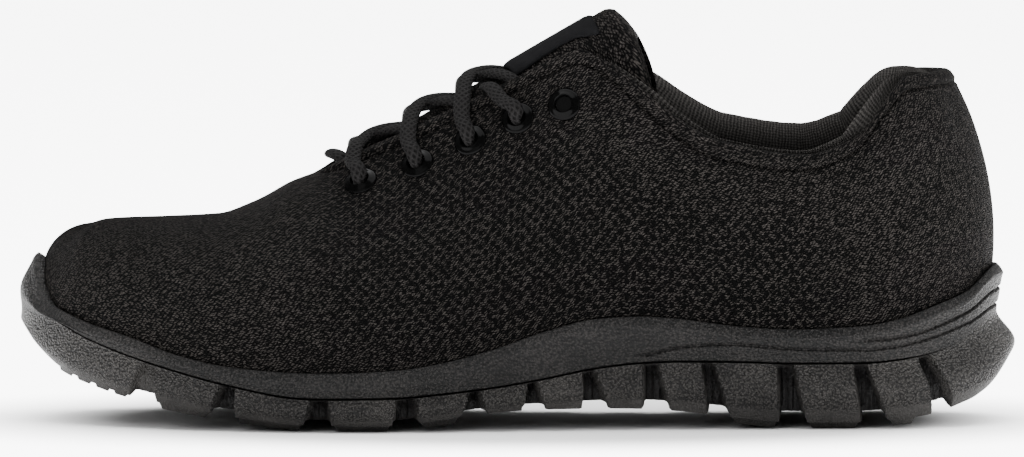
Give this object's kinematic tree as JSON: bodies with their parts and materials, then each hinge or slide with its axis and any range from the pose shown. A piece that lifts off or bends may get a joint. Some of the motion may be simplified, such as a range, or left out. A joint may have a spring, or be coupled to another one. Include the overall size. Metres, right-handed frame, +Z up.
{
  "type": "work shoe",
  "caption": "Low lace-up work shoe with a padded collar, mesh upper, blank tongue patch and a grooved slip-resistant sole.",
  "frame": {"origin": "on the floor under the middle of the shoe's box", "axes": "+Z up; the toe points to -X and the heel to +X; the outer side faces -Y and the inner side +Y"},
  "size_m": [0.285, 0.1044, 0.1195],
  "materials": {
    "mesh": "matte black knitted mesh",
    "foam": "satin charcoal moulded foam with a fine grain",
    "rubber": "matte charcoal pebbled rubber",
    "lining": "matte black ribbed knit",
    "enamel": "gloss black enamel",
    "braid": "matte black braid",
    "label": "smooth dark grey woven patch"
  },
  "bodies": {
    "root": {"outsole": "rubber", "midsole": "foam", "insole": "lining", "upper": "mesh", "tongue": "lining", "eyelet_outer_1": "enamel", "eyelet_outer_2": "enamel", "eyelet_outer_3": "enamel", "eyelet_outer_4": "enamel", "eyelet_outer_5": "enamel", "eyelet_inner_1": "enamel", "eyelet_inner_2": "enamel", "eyelet_inner_3": "enamel", "eyelet_inner_4": "enamel", "eyelet_inner_5": "enamel", "lace_crossing_1": "braid", "lace_crossing_2": "braid", "lace_crossing_3": "braid", "lace_bar": "braid", "tongue_label": "label"}
  },
  "joints": []
}
